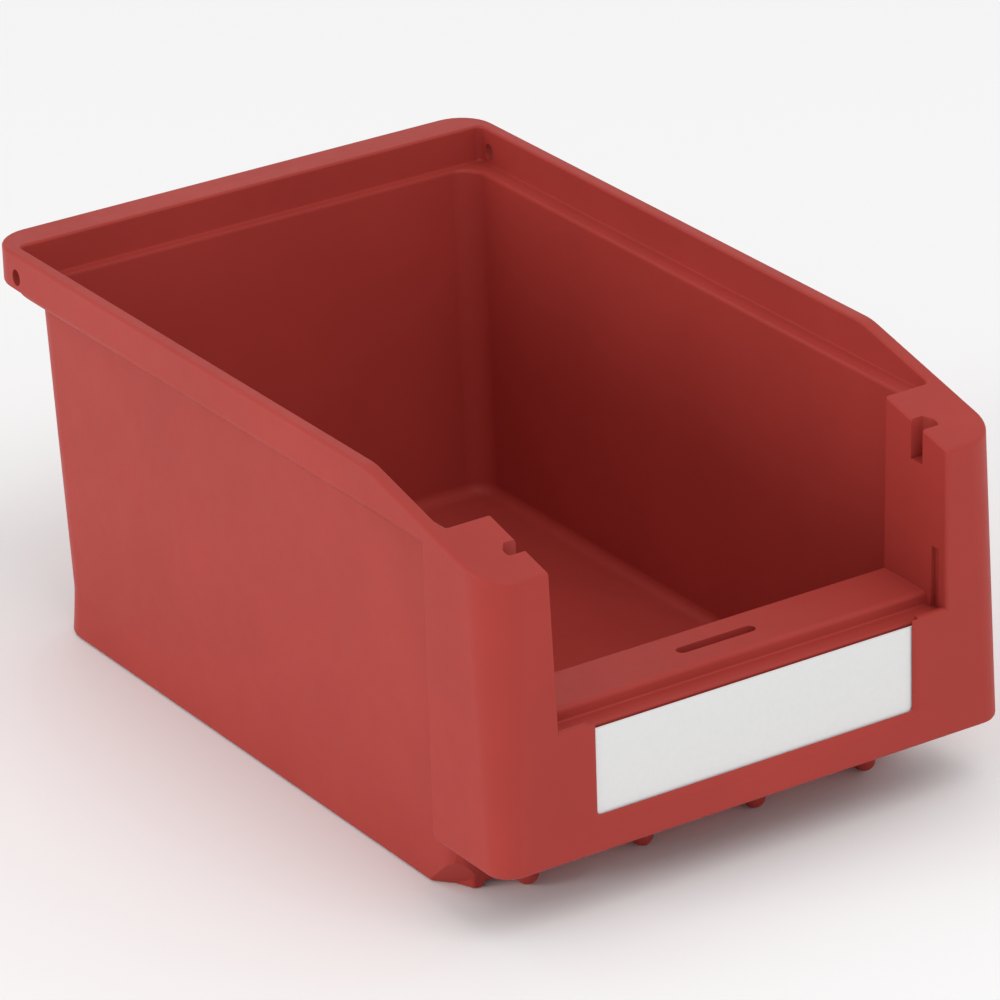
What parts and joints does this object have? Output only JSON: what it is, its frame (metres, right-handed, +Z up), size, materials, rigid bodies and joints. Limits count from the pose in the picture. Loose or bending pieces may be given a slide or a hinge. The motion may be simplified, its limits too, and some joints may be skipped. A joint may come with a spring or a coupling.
{
  "type": "stackable storage bin",
  "caption": "Open-fronted stacking bin with a sloped rim, two front pillars, a hanging rim at the back and a slide-in label card.",
  "frame": {"origin": "centre of the footprint, on the surface the bin stands on", "axes": "+X to the bin's right seen from the back (across), -Y towards the open front, +Y towards the hanging rim, +Z up"},
  "size_m": [0.105, 0.166, 0.075],
  "materials": {
    "bin_body": "fine matte, moulded polypropylene",
    "label_card": null
  },
  "bodies": {
    "bin": {"bin_body": "bin_body"},
    "card": {"label_card": "label_card"}
  },
  "joints": [
    {"name": "card_slide", "type": "slide", "parent": "bin", "child": "card", "axis": [0, 0, 1], "range_m": [0, 0.06]}
  ]
}
